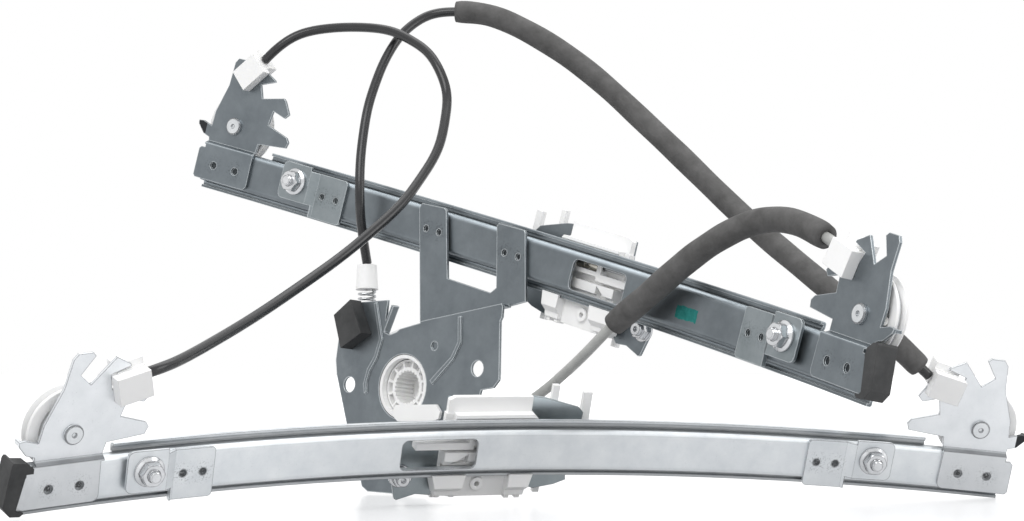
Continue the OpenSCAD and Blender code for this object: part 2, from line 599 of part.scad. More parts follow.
module rear_mount_free_side() color([0.6,0.63,0.66]) rear_mirrored()
  mount_place_free(bow_rear,nut_t_rear) mount_bracket(bow_rear);
module front_studs() color([0.8,0.82,0.84]) front_group()
  stud_places(bow_front,nut_s_front,nut_t_front) stud(bow_front);
module rear_studs() color([0.75,0.78,0.8]) rear_mirrored()
  stud_places(bow_rear,nut_s_rear,nut_t_rear) stud(bow_rear);
module front_nuts() color([0.88,0.9,0.92]) front_group()
  stud_places(bow_front,nut_s_front,nut_t_front) nut();
module rear_nuts() color([0.85,0.87,0.9]) rear_mirrored()
  stud_places(bow_rear,nut_s_rear,nut_t_rear) nut();
module front_end_stop() color([0.12,0.12,0.13]) front_group()
  stop_end(bow_front,half_front) end_stop(bow_front,-15.6);
module rear_end_stop() color([0.12,0.12,0.13]) rear_mirrored()
  stop_end(bow_rear,half_rear) end_stop(bow_rear,-19.2);
module pulley_pins() color([0.78,0.8,0.82]) {
  front_group() stop_end(bow_front,half_front) pin_shape(k_front_stop);
  front_group() free_end(bow_front,half_front) pin_shape(k_front_free);
  rear_mirrored() stop_end(bow_rear,half_rear) pin_shape(k_rear_stop);
  rear_mirrored() free_end(bow_rear,half_rear) pin_shape(k_rear_free);
}
module pulley_front_stop() color([0.95,0.95,0.94]) front_group()
  stop_end(bow_front,half_front) pulley_at(k_front_stop);
module pulley_front_free() color([0.95,0.95,0.94]) front_group()
  free_end(bow_front,half_front) pulley_at(k_front_free);
module pulley_rear_stop() color([0.95,0.95,0.94]) rear_mirrored()
  stop_end(bow_rear,half_rear) pulley_at(k_rear_stop);
module pulley_rear_free() color([0.95,0.95,0.94]) rear_mirrored()
  free_end(bow_rear,half_rear) pulley_at(k_rear_free);
module sheath_ends_front() color([0.96,0.96,0.95]) {
  front_group() stop_end(bow_front,half_front) end_block(k_front_stop,slot_in,turn_in,-1.8,4.9);
  front_group() free_end(bow_front,half_front) end_block(k_front_free,slot_in,turn_in,-1.8,4.9);
}
module sheath_ends_rear() color([0.96,0.96,0.95]) {
  rear_mirrored() stop_end(bow_rear,half_rear) end_block(k_rear_stop,slot_in,turn_in,-1.8,4.9);
  rear_mirrored() free_end(bow_rear,half_rear) end_block(k_rear_free,slot_up,turn_up,-4.9,1.8);
}
module front_wire() color([0.5,0.51,0.52]) front_group() {
  wire(bow_front, half_front-15.5);
  stop_end(bow_front,half_front) wrap(k_front_stop,slot_in,turn_in);
  free_end(bow_front,half_front) wrap(k_front_free,slot_in,turn_in);
}
module rear_wire() color([0.5,0.51,0.52]) rear_mirrored() {
  wire(bow_rear, half_rear-15.5);
  stop_end(bow_rear,half_rear) wrap(k_rear_stop,slot_in,turn_in);
  free_end(bow_rear,half_rear) wrap(k_rear_free,slot_up,turn_up);
}
module sheath_a() color([0.1,0.1,0.11]) translate(set_down) tube(path_a, sheath_r);
module sheath_b() color([0.1,0.1,0.11]) translate(set_down) {
  tube(path_b, sheath_r, 0, foam_b_span[0]);
  tube(path_b, sheath_r, foam_b_span[1]);
}
module sheath_c() color([0.7,0.71,0.72]) translate(set_down) {
  tube(path_c, sheath_r, 0, foam_c_span[0]);
  tube(path_c, sheath_r, foam_c_span[1]);
}
module foam_b() color([0.2,0.2,0.2]) translate(set_down)
  tube(path_b, foam_r, foam_b_span[0], foam_b_span[1]);
module foam_c() color([0.2,0.2,0.2]) translate(set_down)
  tube(path_c, foam_r, foam_c_span[0], foam_c_span[1]);
module inlet_place() rear_group() on_arc(bow_rear,drive_s)
  translate([-67.2,-0.5,-40]) rotate([0,-19,0]) children();
module ferrule() color([0.93,0.93,0.92]) inlet_place() difference() {
  union() {
    translate([0,0,0.1]) cylinder(r1=5.9,r2=5.1,h=12.8);
  }
  translate([0,0,-1]) cylinder(r=1.2,h=16);
}
spring_path = [for (i=[0:98]) let(a=i*360/14) [4.2*cos(a),4.2*sin(a),-0.7-i*2.5/14]];
module tension_spring() color([0.8,0.81,0.83]) inlet_place()
  tube(spring_path,0.7,n=8,m=1,about=[0,0,1]);
module drive_plate() color([0.6,0.63,0.65]) rear_group() on_arc(bow_rear,drive_s)
  drive_plate_shape();
module drum_housing() color([0.93,0.93,0.92]) rear_group() on_arc(bow_rear,drive_s) difference() {
  union() {
    drum_housing_shape();
    inlet_guide();
  }
  peg(cup_r, drive_y+plate+2.4, 13, drum_x, drum_z);
}
module drum() color([0.96,0.96,0.95]) rear_group() on_arc(bow_rear,drive_s) drum_shape();
module damper_block() color([0.1,0.1,0.11]) rear_group() on_arc(bow_rear,drive_s)
  upright(drive_y-8,7.9) polygon([[-71,-56],[-62,-45.5],[-48.8,-60],[-60.5,-71]]);
module front_slider() color([0.96,0.96,0.95]) front_group() slider(bow_front, slide_front);
module rear_slider() color([0.96,0.96,0.95]) rear_mirrored() slider(bow_rear, slide_rear);
module front_nipples() color([0.7,0.6,0.35]) front_group() nipples(bow_front, slide_front);
module rear_nipples() color([0.7,0.6,0.35]) rear_mirrored() nipples(bow_rear, slide_rear);
module front_glass_plate() color([0.6,0.63,0.65]) front_group() glass_plate(bow_front, slide_front);
module rear_glass_plate() color([0.6,0.63,0.65]) rear_mirrored() glass_plate(bow_rear, slide_rear);
module front_glass_clips() color([0.93,0.94,0.94]) front_group() glass_clips(bow_front, slide_front);
module rear_glass_clips() color([0.93,0.94,0.94]) rear_mirrored() glass_clips(bow_rear, slide_rear);
module front_carriage_nut() color([0.85,0.87,0.9]) front_group() carriage_nut(bow_front, slide_front);
module rear_carriage_nut() color([0.85,0.87,0.9]) rear_mirrored() carriage_nut(bow_rear, slide_rear);

front_rail();
rear_rail();
front_stop_bracket();
front_free_bracket();
rear_stop_bracket();
rear_free_bracket();
front_mount_stop_side();
front_mount_free_side();
rear_mount_stop_side();
rear_mount_free_side();
front_studs();
rear_studs();
front_nuts();
rear_nuts();
front_end_stop();
rear_end_stop();
pulley_pins();
pulley_front_stop();
pulley_front_free();
pulley_rear_stop();
pulley_rear_free();
sheath_ends_front();
sheath_ends_rear();
front_wire();
rear_wire();
sheath_a();
sheath_b();
sheath_c();
foam_b();
foam_c();
ferrule();
tension_spring();
drive_plate();
drum_housing();
drum();
damper_block();
front_slider();
front_glass_plate();
front_glass_clips();
front_carriage_nut();
front_nipples();
rear_slider();
rear_glass_plate();
rear_glass_clips();
rear_carriage_nut();
rear_nipples();
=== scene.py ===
"""Window regulator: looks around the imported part, in metres, in the part's own frame."""

import math

import bmesh
import bpy
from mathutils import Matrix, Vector


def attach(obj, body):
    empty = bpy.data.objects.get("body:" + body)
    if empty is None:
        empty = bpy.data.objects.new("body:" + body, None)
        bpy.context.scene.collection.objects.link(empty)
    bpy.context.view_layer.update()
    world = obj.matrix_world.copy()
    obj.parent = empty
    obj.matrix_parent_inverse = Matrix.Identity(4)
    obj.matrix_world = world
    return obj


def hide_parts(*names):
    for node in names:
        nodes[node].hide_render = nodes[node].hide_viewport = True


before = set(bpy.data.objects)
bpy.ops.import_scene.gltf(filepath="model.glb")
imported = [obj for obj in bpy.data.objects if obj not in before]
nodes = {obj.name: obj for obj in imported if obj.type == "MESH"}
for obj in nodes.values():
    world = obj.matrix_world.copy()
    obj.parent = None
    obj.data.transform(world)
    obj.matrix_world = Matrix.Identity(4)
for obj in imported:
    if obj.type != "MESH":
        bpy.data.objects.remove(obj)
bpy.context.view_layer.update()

MM = 0.001
# The source's shift to the middle and down onto the floor
SET_DOWN = Vector((-8.50, -12.50, 0.93)) * MM

# The camera's fit to the photo, with the picture's width and the focal length in pixels
FRAME_WIDE = 1024
FOCAL_PIXELS = 2600
SENSOR_WIDE = 36
CAMERA_AT = Vector((-0.0076, -1.238, 0.0648))
CAMERA_TILT = 92.3
NEAREST_SEEN = 0.01
FARTHEST_SEEN = 60


def add(name, data):
    obj = bpy.data.objects.new(name, data)
    bpy.context.scene.collection.objects.link(obj)
    return obj


# Camera
def camera():
    data = bpy.data.cameras.new("camera")
    data.sensor_width = SENSOR_WIDE
    data.lens = data.sensor_width * FOCAL_PIXELS / FRAME_WIDE
    data.clip_start = NEAREST_SEEN
    data.clip_end = FARTHEST_SEEN
    cam = add("camera", data)
    cam.location = CAMERA_AT + SET_DOWN
    cam.rotation_euler = (math.radians(CAMERA_TILT), 0, 0)
    bpy.context.scene.camera = cam


camera()


# Cords, along the routes of the source
def route(points):
    return [Vector(p) * MM + SET_DOWN for p in points]


ROUTE_A = route([
    (-140.9, 158.6, 228.8), (-133, 156, 236), (-122, 156, 243), (-106, 152, 245.5),
    (-88.6, 144, 245), (-72.3, 133, 242), (-61.4, 126, 236), (-51.6, 118, 228.7),
    (-45, 110, 217.5), (-41, 106, 205), (-42, 95, 191), (-45, 82, 174), (-54, 68, 158),
    (-63, 54, 144), (-77, 40, 130), (-91, 26, 117), (-109, 0, 102), (-125, -35, 88),
    (-140, -72, 76), (-152, -103, 67), (-159, -115.4, 63.5), (-165, -119, 61.2)])
ROUTE_B = route([
    (-83.1, 115.4, 117.8), (-84, 112.5, 124.1), (-86, 105, 140), (-86.4, 104.6, 155),
    (-86.4, 109, 171), (-85, 116, 187), (-83, 122, 201), (-79, 129, 215), (-75, 134, 226),
    (-68, 140, 239), (-59, 146, 248), (-50, 150, 253), (-38, 149, 254), (-20, 145, 252),
    (-3, 138, 244), (18, 132, 231), (39, 125, 214), (59, 116, 194), (79, 101, 173),
    (99, 86, 151), (117, 70, 132), (134, 48, 115), (149, 30, 100), (165, 20, 86),
    (179, 18, 74), (190, 21, 63.5), (194.4, 22.4, 59.5)])
ROUTE_C = route([
    (134.3, -118.9, 114.8), (129.5, -109.5, 120), (119, -93, 127.6), (109, -78, 130),
    (98, -68, 128), (86, -62, 122), (74.5, -53, 114), (63, -42, 104), (52, -31, 94),
    (40, -20, 84), (29, -8, 72), (19, 10, 62), (9, 27, 53), (-2, 42, 45),
    (-14, 54, 40.5), (-23.5, 63, 38.6)])

# The route points between which the foam tubes lie
FOAM_B = (12, 25)
FOAM_C = (1, 9)

# Thicknesses, and how finely the tubes are made
SHEATH = 5 * MM
FOAM = 12 * MM
FOAM_PLAY = 0.3 * MM
FOAM_INSET = 0.1 * MM
SHEATH_SIDES = 16
FOAM_SIDES = 24
STEPS = 6
EASE_PASSES = 10

# How far the foam's skin draws in over its last rings, and how deep its mouth is seen
END_ROUNDING = {0: 0.93, 1: 0.985}
MOUTH_RINGS = 4
MOUTH_TAPER = 0.97


def smooth_line(points):
    """A curve through the points, with STEPS places for each, and its kinks eased."""
    out = []
    for i in range(len(points) - 1):
        a, b = points[max(i - 1, 0)], points[i]
        c, d = points[i + 1], points[min(i + 2, len(points) - 1)]
        for j in range(STEPS):
            t = j / STEPS
            out.append(0.5 * (2 * b + (c - a) * t + (2 * a - 5 * b + 4 * c - d) * t * t
                              + (3 * b - a - 3 * c + d) * t ** 3))
    out.append(points[-1])
    for _ in range(EASE_PASSES):
        eased = [(a + 2 * b + c) / 4 for a, b, c in zip(out, out[1:], out[2:])]
        out = [out[0], *eased, out[-1]]
    return out


def frames_along(line):
    """Each point with two side directions, which turn as little as they can."""
    out = []
    side = None
    for i, p in enumerate(line):
        t = (line[min(i + 1, len(line) - 1)] - line[max(i - 1, 0)]).normalized()
        if side is None:
            side = t.cross(Vector((0.3, 0.5, 0.8))).normalized()
        side = (side - t * side.dot(t)).normalized()
        out.append((p, side, t.cross(side)))
    return out


def ring(bm, place, radius, count):
    """A round of vertices across the line."""
    p, u, v = place
    turn = 2 * math.pi / count
    return [bm.verts.new(p + (u * math.cos(turn * k) + v * math.sin(turn * k)) * radius)
            for k in range(count)]


def bridge(bm, a, b):
    """Faces between two rings."""
    n = len(a)
    for k in range(n):
        bm.faces.new((a[k], b[k], b[(k + 1) % n], a[(k + 1) % n]))


def finish_piece(bm, name, replaced):
    """The piece in the scene, smooth, on the frame and in place of the source's node."""
    bmesh.ops.recalc_face_normals(bm, faces=bm.faces)
    mesh = bpy.data.meshes.new(name)
    bm.to_mesh(mesh)
    bm.free()
    for face in mesh.polygons:
        face.use_smooth = True
    obj = add(name, mesh)
    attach(obj, "frame")
    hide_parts(replaced)
    return obj


def sheath(name, points, replaced):
    line = smooth_line(points)
    places = frames_along(line)
    bm = bmesh.new()
    rings = [ring(bm, place, SHEATH / 2, SHEATH_SIDES) for place in places]
    for a, b in zip(rings, rings[1:]):
        bridge(bm, a, b)
    for end in (rings[0], rings[-1]):
        bm.faces.new(end)
    obj = finish_piece(bm, name, replaced)
    return obj


def foam_tube(name, points, span, replaced):
    """A foam tube round a sheath, slightly uneven, with open mouths."""
    line = smooth_line(points)[span[0] * STEPS:span[1] * STEPS + 1]
    places = frames_along(line)
    inner = SHEATH / 2 + FOAM_PLAY
    last = len(places) - 1
    bm = bmesh.new()
    skins = []
    for i, place in enumerate(places):
        slack = 1 + 0.012 * math.sin(i * 0.9) + 0.01 * math.sin(i * 0.37 + 1.3)
        rounding = END_ROUNDING.get(min(i, last - i), 1)
        skins.append(ring(bm, place, FOAM / 2 * slack * rounding - FOAM_INSET, FOAM_SIDES))
    for a, b in zip(skins, skins[1:]):
        bridge(bm, a, b)
    for end, deep in ((0, MOUTH_RINGS), (last, last - MOUTH_RINGS)):
        mouth = ring(bm, places[end], inner, FOAM_SIDES)
        bridge(bm, skins[end], mouth)
        bridge(bm, mouth, ring(bm, places[deep], inner * MOUTH_TAPER, FOAM_SIDES))
    return finish_piece(bm, name, replaced)


foam_sleeve_b = foam_tube("foam_sleeve_b", ROUTE_B, FOAM_B, "foam_b")
foam_sleeve_c = foam_tube("foam_sleeve_c", ROUTE_C, FOAM_C, "foam_c")
cable_a = sheath("cable_a", ROUTE_A, "sheath_a")
cable_b = sheath("cable_b", ROUTE_B, "sheath_b")
cable_c = sheath("cable_c", ROUTE_C, "sheath_c")


# Materials
class Rail:
    """Where a rail lies: its place, turn and bow radius, and its press joints along the arc."""

    def __init__(self, place, turn, bow, joints):
        self.place = Vector(place) * MM + SET_DOWN
        self.turn = [math.radians(a) for a in turn]
        self.bow = bow * MM
        self.joints = [s * MM for s in joints]


def pairs(*middles):
    """Both press joints of each pair, from the pair's middle and half distance."""
    return [m + d for m, half in middles for d in (-half, half)]


FRONT = Rail((-1.2, -16.1, 23.5), (21.86, 0.22, 21.69), 858,
             pairs((-227.3, 7.3), (227.3, 7.3), (-165.7, 4.8), (152.5, 4.8)))
REAR = Rail((4.5, 37.4, 115.1), (-5.68, 14.17, -45.58), 828,
            pairs((-219.4, 7.3), (219.4, 7.3), (159.1, 4.8), (-146.3, 4.8),
                  (-72.3, 4.7), (-16.2, 4.7)))


# The Mix node's colour sockets
MIX_A, MIX_B, MIX_OUT = 6, 7, 2

# Rays for each rounded normal, and how well it agrees with the true one on an edge and off it
EDGE_SAMPLES = 6
CORNER_SAMPLES = 4
EDGE_TURN = (0.88, 0.992)


class Mat:
    """A node material round one Principled shader."""

    def __init__(self, name, metallic=0.0, roughness=0.5):
        self.m = bpy.data.materials.new(name)
        self.m.use_nodes = True
        self.t = self.m.node_tree
        self.bsdf = self.t.nodes["Principled BSDF"]
        self.bsdf.inputs["Metallic"].default_value = metallic
        self.bsdf.inputs["Roughness"].default_value = roughness
        self.coord = self.t.nodes.new("ShaderNodeTexCoord")

    def node(self, kind, **settings):
        n = self.t.nodes.new(kind)
        for k, v in settings.items():
            setattr(n, k, v)
        return n

    def link(self, a, b):
        self.t.links.new(a, b)

    def put(self, socket, value):
        """Links an output to the socket, or sets a number or colour on it."""
        if hasattr(value, "links"):
            self.link(value, socket)
        elif isinstance(value, (tuple, list)) and len(socket.default_value) == 4:
            socket.default_value = (*value[:3], 1)
        else:
            socket.default_value = value

    def math(self, operation, a, b=None):
        n = self.node("ShaderNodeMath", operation=operation)
        self.put(n.inputs[0], a)
        if b is not None:
            self.put(n.inputs[1], b)
        return n.outputs[0]

    def noise(self, scale, detail=4.0, rough=0.55):
        n = self.node("ShaderNodeTexNoise")
        n.inputs["Scale"].default_value = scale
        n.inputs["Detail"].default_value = detail
        n.inputs["Roughness"].default_value = rough
        self.link(self.coord.outputs["Object"], n.inputs["Vector"])
        return n.outputs["Fac"]

    def cells(self, scale):
        """A random colour for each crystal of the plating."""
        n = self.node("ShaderNodeTexVoronoi")
        n.inputs["Scale"].default_value = scale
        self.link(self.coord.outputs["Object"], n.inputs["Vector"])
        return n.outputs["Color"]

    def ramp(self, fac, stops):
        """A colour ramp through the stops, each a place and a colour or grey."""
        n = self.node("ShaderNodeValToRGB")
        while len(n.color_ramp.elements) < len(stops):
            n.color_ramp.elements.new(0.5)
        for e, (at, colour) in zip(n.color_ramp.elements, stops):
            if isinstance(colour, (int, float)):
                colour = (colour,) * 3
            e.position = at
            e.color = (*colour, 1)
        self.link(fac, n.inputs["Fac"])
        return n.outputs["Color"]

    def mix(self, a, b, fac, kind="MIX"):
        n = self.node("ShaderNodeMix", data_type="RGBA", blend_type=kind)
        self.put(n.inputs[MIX_A], a)
        self.put(n.inputs[MIX_B], b)
        self.put(n.inputs[0], fac)
        return n.outputs[MIX_OUT]

    def span(self, fac, low, high, start=0.0, stop=1.0):
        """A value from start to stop, laid from low to high."""
        n = self.node("ShaderNodeMapRange")
        ends = {"From Min": start, "From Max": stop, "To Min": low, "To Max": high}
        for name, value in ends.items():
            n.inputs[name].default_value = value
        self.link(fac, n.inputs["Value"])
        return n.outputs["Result"]

    def edges(self, radius):
        """1 on a sharp edge, 0 on the flat, from how far a rounded normal turns."""
        bevel = self.node("ShaderNodeBevel", samples=EDGE_SAMPLES)
        bevel.inputs["Radius"].default_value = radius
        geometry = self.node("ShaderNodeNewGeometry")
        dot = self.node("ShaderNodeVectorMath", operation="DOT_PRODUCT")
        self.link(bevel.outputs["Normal"], dot.inputs[0])
        self.link(geometry.outputs["True Normal"], dot.inputs[1])
        return self.span(dot.outputs["Value"], 1, 0, *EDGE_TURN)

    def along(self, rail):
        """The place along the rail's arc and the height over its joint line, in metres."""
        local = self.node("ShaderNodeMapping", vector_type="TEXTURE")
        local.inputs["Location"].default_value = rail.place
        local.inputs["Rotation"].default_value = rail.turn
        self.link(self.coord.outputs["Object"], local.inputs["Vector"])
        axes = self.node("ShaderNodeSeparateXYZ")
        self.link(local.outputs[0], axes.inputs[0])
        from_middle = self.math("ADD", axes.outputs["Y"], rail.bow)
        turned = self.math("ARCTAN2", axes.outputs["X"], from_middle)
        return self.math("MULTIPLY", turned, rail.bow), axes.outputs["Z"]

    def nearest(self, s, z, places):
        """Distance to the nearest of some places on the rail's joint line."""
        flat = self.node("ShaderNodeCombineXYZ")
        self.link(s, flat.inputs[0])
        self.link(z, flat.inputs[1])
        best = None
        for at in places:
            n = self.node("ShaderNodeVectorMath", operation="DISTANCE")
            self.link(flat.outputs[0], n.inputs[0])
            n.inputs[1].default_value = (at, 0, 0)
            far = n.outputs["Value"]
            best = far if best is None else self.math("MINIMUM", best, far)
        return best

    def bump(self, height, strength, distance, rounded=0.0):
        """Fine relief, over corners that look rounded."""
        n = self.node("ShaderNodeBump")
        n.inputs["Strength"].default_value = strength
        n.inputs["Distance"].default_value = distance
        self.link(height, n.inputs["Height"])
        if rounded:
            b = self.node("ShaderNodeBevel", samples=CORNER_SAMPLES)
            b.inputs["Radius"].default_value = rounded
            self.link(b.outputs["Normal"], n.inputs["Normal"])
        self.link(n.outputs["Normal"], self.bsdf.inputs["Normal"])

    def colour(self, out):
        self.link(out, self.bsdf.inputs["Base Color"])

    def rough(self, out):
        self.link(out, self.bsdf.inputs["Roughness"])


# Painted light and shade over the height above a rail's joint line, in millimetres: the brims
# drawn darker on the pale rail and lighter on the dull one, painted shade in the corner line and
# a painted highlight on the bend to the web
PALE_PAINTED_LIGHT = [(-15, 0.95), (-13.4, 0.7), (-12.6, 0.62), (-10.4, 0.5), (-9.7, 0.42), (-9.3, 0.8),
                (-8.6, 0.97), (-7.6, 1.0), (8.2, 1.0), (8.9, 0.9), (9.6, 1.12), (10.8, 1.18),
                (11.1, 0.45), (11.7, 0.42), (12.3, 0.62), (13.8, 0.7), (14.3, 0.95), (15, 1.1)]
DULL_PAINTED_LIGHT = [(-15, 1.6), (-13.6, 1.5), (-13.0, 0.85), (-11.2, 0.9), (-10.6, 1.5), (-9.9, 1.9),
                (-9.2, 1.2), (-8.4, 1.0), (8.0, 1.0), (8.8, 1.25), (9.6, 2.5), (10.6, 2.6),
                (11.1, 0.9), (11.8, 0.85), (12.4, 1.3), (13.4, 1.0), (14.2, 1.5), (15, 1.9)]

# The same painted light over the fold of an end bracket, a painted shadow at the fold of the pale
# one and a painted highlight at the fold of the dull one, and over a carriage's plate, a painted
# highlight towards its top
PALE_FOLD_PAINTED_SHADE = [(-15, 0.78), (10.6, 0.84), (11.1, 0.4), (11.9, 0.36), (12.6, 1.0), (60, 1.02)]
DULL_FOLD_PAINTED_LIGHT = [(-15, 1.04), (10.4, 1.08), (11.1, 2.2), (11.7, 1.5), (12.4, 1.0), (60, 1.0)]
CARRIAGE_SHADE = [(-30, 1.3), (12, 0.9), (17, 1.3), (22, 2.3), (24, 2.5)]

# Marks and painted light on the sheets: pits painted dark as the shade in the joints' holes, tool
# marks round them, painted light towards a rail's ends, hooks painted as shadow and the dab of
# paint
PIT_REACH = 6 * MM
PIT_RAGGED = 0.7 * MM
TOOL_MARKS = (2 * MM, 7 * MM)
TOOL_SHADE = 0.5
SPECK_SHADE = 0.35
END_LIGHT_REACH = (0.02, 0.13)
HOOK_PAINTED_SHADOW = (0.035, 0.037, 0.04)
DAB_RAGGED = 1.6 * MM
DAB_DEEP = (0.012, 0.17, 0.155)
DAB_LIGHT = (0.03, 0.26, 0.235)
DAB_COVER = 0.95


def shaded(m, base, z, light_profile):
    """Painted light and shade: the colour made lighter or darker over the height."""
    start, stop = light_profile[0][0], light_profile[-1][0]
    most = max(value for _, value in light_profile)
    stops = [((height - start) / (stop - start), value / most) for height, value in light_profile]
    shade = m.ramp(m.span(z, 0, 1, start * MM, stop * MM), stops)
    return m.mix(m.mix(base, shade, 1.0, "MULTIPLY"), (most,) * 3, 1.0, "MULTIPLY")


def pressed(m, base, away, dark, pit_shade):
    """A ragged pit at each press joint, painted dark as the shade in its hole, with marks of the
    tool round it.
    """
    ragged = m.span(m.noise(700, 4, 0.7), -PIT_RAGGED, PIT_RAGGED)
    pit = m.ramp(m.span(m.math("ADD", away, ragged), 0, 1, 0, PIT_REACH),
                 [(0.22, 0.95), (0.30, 0.5), (0.42, 0.0)])
    # Painted shade in the joint's hole
    base = m.mix(base, tuple(c * pit_shade for c in dark), pit)
    near = m.span(away, 1, 0, *TOOL_MARKS)
    spots = m.ramp(m.noise(1300, 2, 0.5), [(0.56, 0.0), (0.62, 0.8)])
    return m.mix(base, tuple(c * TOOL_SHADE for c in dark), m.mix((0, 0, 0), spots, near))


def hook_shadowed(m, base, s, z, hook):
    """Painted shadow: the hook past some reach on one side, above some height, painted near black
    as the shade it lies in.
    """
    side, reach, rise = hook
    past = m.math("GREATER_THAN", m.math("MULTIPLY", s, side), reach * MM)
    out = m.math("MULTIPLY", past, m.math("GREATER_THAN", z, rise * MM))
    return m.mix(base, HOOK_PAINTED_SHADOW, out)


def dabbed(m, base, s, z, dab):
    """A dab of paint with a ragged edge, from its middle and half sizes."""
    middle, half, up, tall = dab
    aside = m.math("ABSOLUTE", m.math("SUBTRACT", s, middle * MM))
    above = m.math("ABSOLUTE", m.math("SUBTRACT", z, up * MM))
    ragged = m.span(m.noise(260, 4, 0.6), -DAB_RAGGED, DAB_RAGGED)
    inside = m.math("MULTIPLY",
                    m.math("LESS_THAN", m.math("ADD", aside, ragged), half * MM),
                    m.math("LESS_THAN", m.math("ADD", above, ragged), tall * MM))
    paint = m.ramp(m.noise(500, 3, 0.6), [(0.3, DAB_DEEP), (0.7, DAB_LIGHT)])
    return m.mix(base, paint, m.math("MULTIPLY", inside, DAB_COVER))


def zinc(name, light, dark, stain, smooth=0.3, rough=0.5, metallic=0.9, rounded=0.4, edge=None,
         rail=None, light_profile=None, dab=None, ends=None, hook=None, pit_shade=0.25,
         edge_wide=0.7):
    """Zinc-plated sheet: blotches, grain, specks, the edge colour along the edges (a painted
    highlight on the dull sheets, darker on the others) and marks of the press joints.
    """
    m = Mat(name, metallic=metallic)
    base = m.ramp(m.noise(70, 5, 0.62), [(0.32, dark), (0.68, light)])
    spangle = m.ramp(m.cells(420), [(0, dark), (1, light)])
    base = m.mix(base, spangle, 0.12)
    base = m.mix(base, stain, m.ramp(m.noise(38, 6, 0.7), [(0.60, 0.0), (0.78, 0.5)]))
    specks = m.ramp(m.noise(2100, 2, 0.5), [(0.71, 0.0), (0.76, 0.55)])
    base = m.mix(base, tuple(c * SPECK_SHADE for c in dark), specks)
    if rail:
        s, z = m.along(rail)
        # Painted highlights and shade over the height of the profile
        if light_profile:
            base = shaded(m, base, z, light_profile)
        base = pressed(m, base, m.nearest(s, z, rail.joints), dark, pit_shade)
        if ends:
            # Painted light: the rail drawn lighter towards its ends
            end_light = m.span(m.math("ABSOLUTE", s), *ends, *END_LIGHT_REACH)
            base = m.mix(base, end_light, 1.0, "MULTIPLY")
        # Painted shadow on the hook
        if hook:
            base = hook_shadowed(m, base, s, z, hook)
        if dab:
            base = dabbed(m, base, s, z, dab)
    # The edge colour along the sharp edges: a painted highlight on the dull sheets, darker on the
    # others
    if edge is not None:
        base = m.mix(base, edge, m.math("MULTIPLY", m.edges(edge_wide * MM), 0.9))
    m.colour(base)
    m.rough(m.span(m.noise(240, 4, 0.65), smooth, rough))
    m.bump(m.noise(900, 3, 0.6), 0.12, 0.0002, rounded * MM)
    return m.m


MILKY_REACH = (0.004, 0.004, 0.0037)
MILKY_SHARE = 0.2


def plastic(name, light, dark, rough=0.38):
    """Natural moulded plastic: slightly uneven, milky, with soft corners."""
    m = Mat(name, roughness=rough)
    m.bsdf.inputs["Subsurface Weight"].default_value = MILKY_SHARE
    m.bsdf.inputs["Subsurface Radius"].default_value = MILKY_REACH
    base = m.ramp(m.noise(60, 4, 0.6), [(0.3, dark), (0.7, light)])
    # Darker along the edges
    darker_edges = m.math("MULTIPLY", m.edges(0.5 * MM), 0.3)
    m.colour(m.mix(base, tuple(c * 0.8 for c in dark), darker_edges))
    m.rough(m.span(m.noise(500, 3), rough - 0.08, rough + 0.1))
    m.bump(m.noise(1400, 2), 0.06, 0.0001, 0.0004)
    return m.m


def rubber(name, light, dark, rough=0.62, fine=1600, depth=0.25, coat=0.0):
    """Rubber, sheath or foam: blotches, uneven shine and a fine grain."""
    m = Mat(name)
    m.bsdf.inputs["Coat Weight"].default_value = coat
    m.bsdf.inputs["Coat Roughness"].default_value = 0.12
    m.colour(m.ramp(m.noise(110, 5, 0.65), [(0.3, dark), (0.72, light)]))
    m.rough(m.span(m.noise(300, 4), rough - 0.1, rough + 0.12))
    m.bump(m.noise(fine, 3, 0.7), depth, 0.0003, 0.0003)
    return m.m


